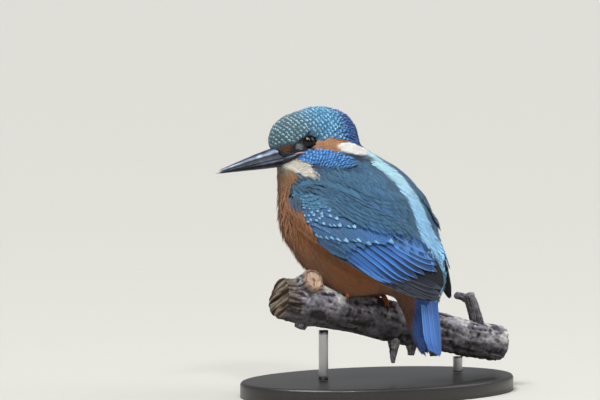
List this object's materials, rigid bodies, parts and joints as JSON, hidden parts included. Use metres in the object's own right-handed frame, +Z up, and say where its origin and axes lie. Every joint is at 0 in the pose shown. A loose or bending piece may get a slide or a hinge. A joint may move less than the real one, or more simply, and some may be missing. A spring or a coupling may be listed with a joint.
{
  "type": "common kingfisher model",
  "caption": "Life-size perched kingfisher, head turned left, gripping a short length of branch on a rod stand with an oval base.",
  "frame": {"origin": "centre of the stand base's flat underside", "axes": "+Z up, the bird's breast towards -Y and its left side towards +X"},
  "size_m": [0.1164, 0.0992, 0.1201],
  "materials": {
    "crown": "soft matt plumage, dark blue with pale spots",
    "blue": "closed flight feathers with a slight sheen",
    "orange": "soft matt body plumage, rufous below and teal and azure above",
    "bill": "smooth horn with a low sheen",
    "eye": "wet gloss, near black",
    "foot": "fine scaled skin",
    "claw": "smooth dark horn",
    "bark": "rough bark with grey lichen",
    "stand": "ebonised wood, satin",
    "steel": "satin"
  },
  "bodies": {
    "root": {"head": "crown", "neck": "orange", "trunk": "orange", "tail": "blue", "wing_left": "blue", "wing_right": "blue", "bill_upper": "bill", "bill_lower": "bill", "eye_left": "eye", "eye_right": "eye", "leg_left": "foot", "leg_right": "foot", "claw_left_hind": "claw", "claw_left_inner": "claw", "claw_left_middle": "claw", "claw_left_outer": "claw", "claw_right_hind": "claw", "claw_right_inner": "claw", "claw_right_middle": "claw", "claw_right_outer": "claw", "perch": "bark", "stand_base": "stand", "stand_rod_front": "steel", "stand_rod_back": "steel"}
  },
  "joints": []
}
